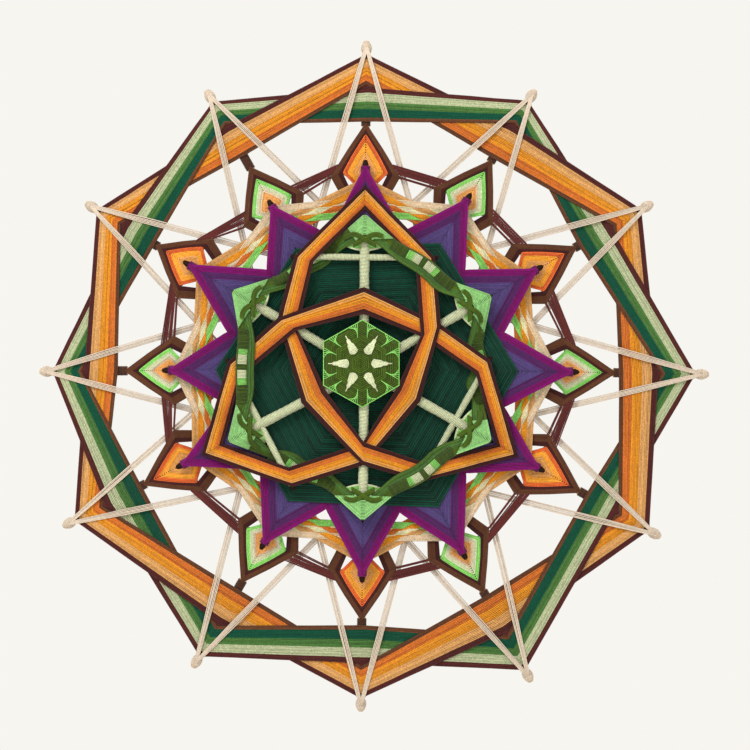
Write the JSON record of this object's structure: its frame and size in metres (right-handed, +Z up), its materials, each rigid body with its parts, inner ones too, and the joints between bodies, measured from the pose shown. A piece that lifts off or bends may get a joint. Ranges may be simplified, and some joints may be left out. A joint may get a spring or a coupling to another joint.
{
  "type": "yarn mandala",
  "caption": "Round wall mandala of crossed sticks wound with coloured yarn: pointed hexagons, petals, a star and a three-lobed knot around a domed centre.",
  "frame": {"origin": "on the rear flat of the upright frame stick where the sticks cross, which lies against the wall", "axes": "+Z up towards the point at twelve o'clock, +Y into the wall, -Y towards the viewer, +X to the viewer's right"},
  "size_m": [0.5362, 0.041, 0.5373],
  "materials": {
    "frame_wood": "bare sanded stick",
    "star_wood": "dark stained stick",
    "yarn_maroon": "matt yarn",
    "yarn_warm": "matt yarn in peach, orange and red-orange",
    "yarn_green": "matt yarn in pale, mid and dark green",
    "yarn_brown": "matt yarn",
    "yarn_cream": "matt yarn",
    "petal_warm": "matt yarn in three warm shades",
    "petal_green": "matt yarn in green, cream and peach",
    "yarn_border": "matt yarn in brown and maroon",
    "braid_warm": "matt yarn in three warm shades",
    "braid_green": "matt yarn in cream and two greens",
    "yarn_purple": "matt yarn",
    "yarn_indigo": "matt yarn",
    "yarn_blue": "matt yarn",
    "yarn_field": "matt yarn",
    "wrap_cream": "yarn wound over a stick",
    "yarn_knot": "matt yarn in maroon, peach, orange and red-orange",
    "yarn_cord": "matt yarn in olive, greens and cream",
    "yarn_olive": "matt yarn with green and cream marks"
  },
  "bodies": {
    "root": {"braid_green": "braid_green", "braid_warm": "braid_warm", "centre_eye": "yarn_olive", "cord_hexagon": "yarn_cord", "cream_run_even": "yarn_cream", "cream_run_odd": "yarn_cream", "cross_stick_12_6": "wrap_cream", "cross_stick_4_10": "wrap_cream", "cross_stick_8_2": "wrap_cream", "crossbar_12": "wrap_cream", "crossbar_4": "wrap_cream", "crossbar_8": "wrap_cream", "frame_stick_12_6": "frame_wood", "frame_stick_1_7": "frame_wood", "frame_stick_2_8": "frame_wood", "frame_stick_3_9": "frame_wood", "frame_stick_4_10": "frame_wood", "frame_stick_5_11": "frame_wood", "green_field": "yarn_field", "knot_band": "yarn_knot", "outer_hexagon_green_band": "yarn_green", "outer_hexagon_green_edge": "yarn_brown", "outer_hexagon_green_rim": "yarn_maroon", "outer_hexagon_warm_band": "yarn_warm", "outer_hexagon_warm_edge": "yarn_brown", "outer_hexagon_warm_rim": "yarn_maroon", "petal_bar_1": "frame_wood", "petal_bar_10": "frame_wood", "petal_bar_11": "frame_wood", "petal_bar_12": "frame_wood", "petal_bar_2": "frame_wood", "petal_bar_3": "frame_wood", "petal_bar_4": "frame_wood", "petal_bar_5": "frame_wood", "petal_bar_6": "frame_wood", "petal_bar_7": "frame_wood", "petal_bar_8": "frame_wood", "petal_bar_9": "frame_wood", "petal_border": "yarn_border", "petal_eye_1": "petal_green", "petal_eye_10": "petal_warm", "petal_eye_11": "petal_green", "petal_eye_12": "petal_warm", "petal_eye_2": "petal_warm", "petal_eye_3": "petal_green", "petal_eye_4": "petal_warm", "petal_eye_5": "petal_green", "petal_eye_6": "petal_warm", "petal_eye_7": "petal_green", "petal_eye_8": "petal_warm", "petal_eye_9": "petal_green", "star_blue": "yarn_blue", "star_indigo": "yarn_indigo", "star_purple": "yarn_purple", "star_stick_12_6": "star_wood", "star_stick_1_7": "star_wood", "star_stick_2_8": "star_wood", "star_stick_3_9": "star_wood", "star_stick_4_10": "star_wood", "star_stick_5_11": "star_wood"}
  },
  "joints": []
}
